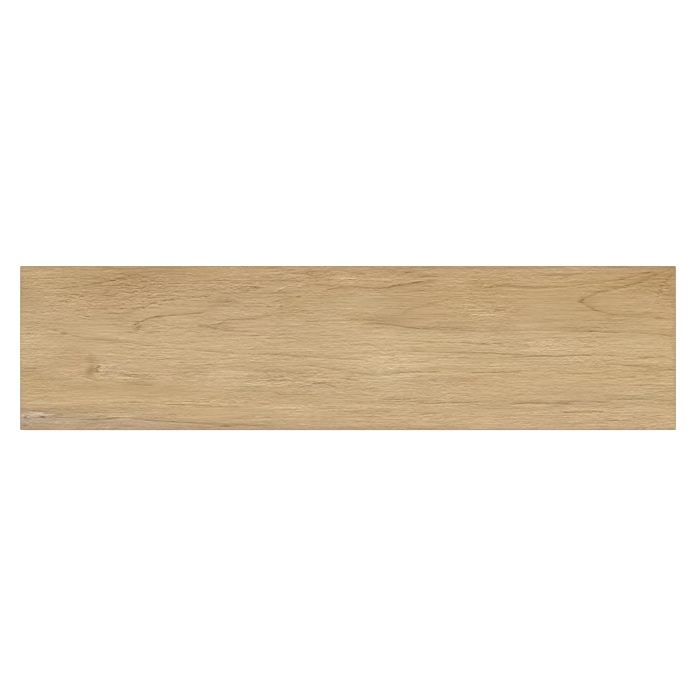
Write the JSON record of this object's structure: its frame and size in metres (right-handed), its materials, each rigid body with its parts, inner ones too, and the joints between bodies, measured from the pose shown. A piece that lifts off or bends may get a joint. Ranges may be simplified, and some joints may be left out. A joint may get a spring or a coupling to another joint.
{
  "type": "wood look porcelain plank tile",
  "caption": "Rectified wood-look porcelain plank tile: a flat rectangular slab with a printed matt face, ground bevelled edges and a keyed back for adhesive.",
  "frame": {"origin": "middle of the back, in the plane of the ribs that the tile beds on", "axes": "+X along the plank, +Y across it, +Z out of the printed face"},
  "size_m": [0.6, 0.15, 0.009],
  "materials": {
    "glazed_porcelain": "matt printed glaze in warm tan wood grain on the face, bare fired body on the edges and back"
  },
  "bodies": {
    "root": {"plank_tile": "glazed_porcelain"}
  },
  "joints": []
}
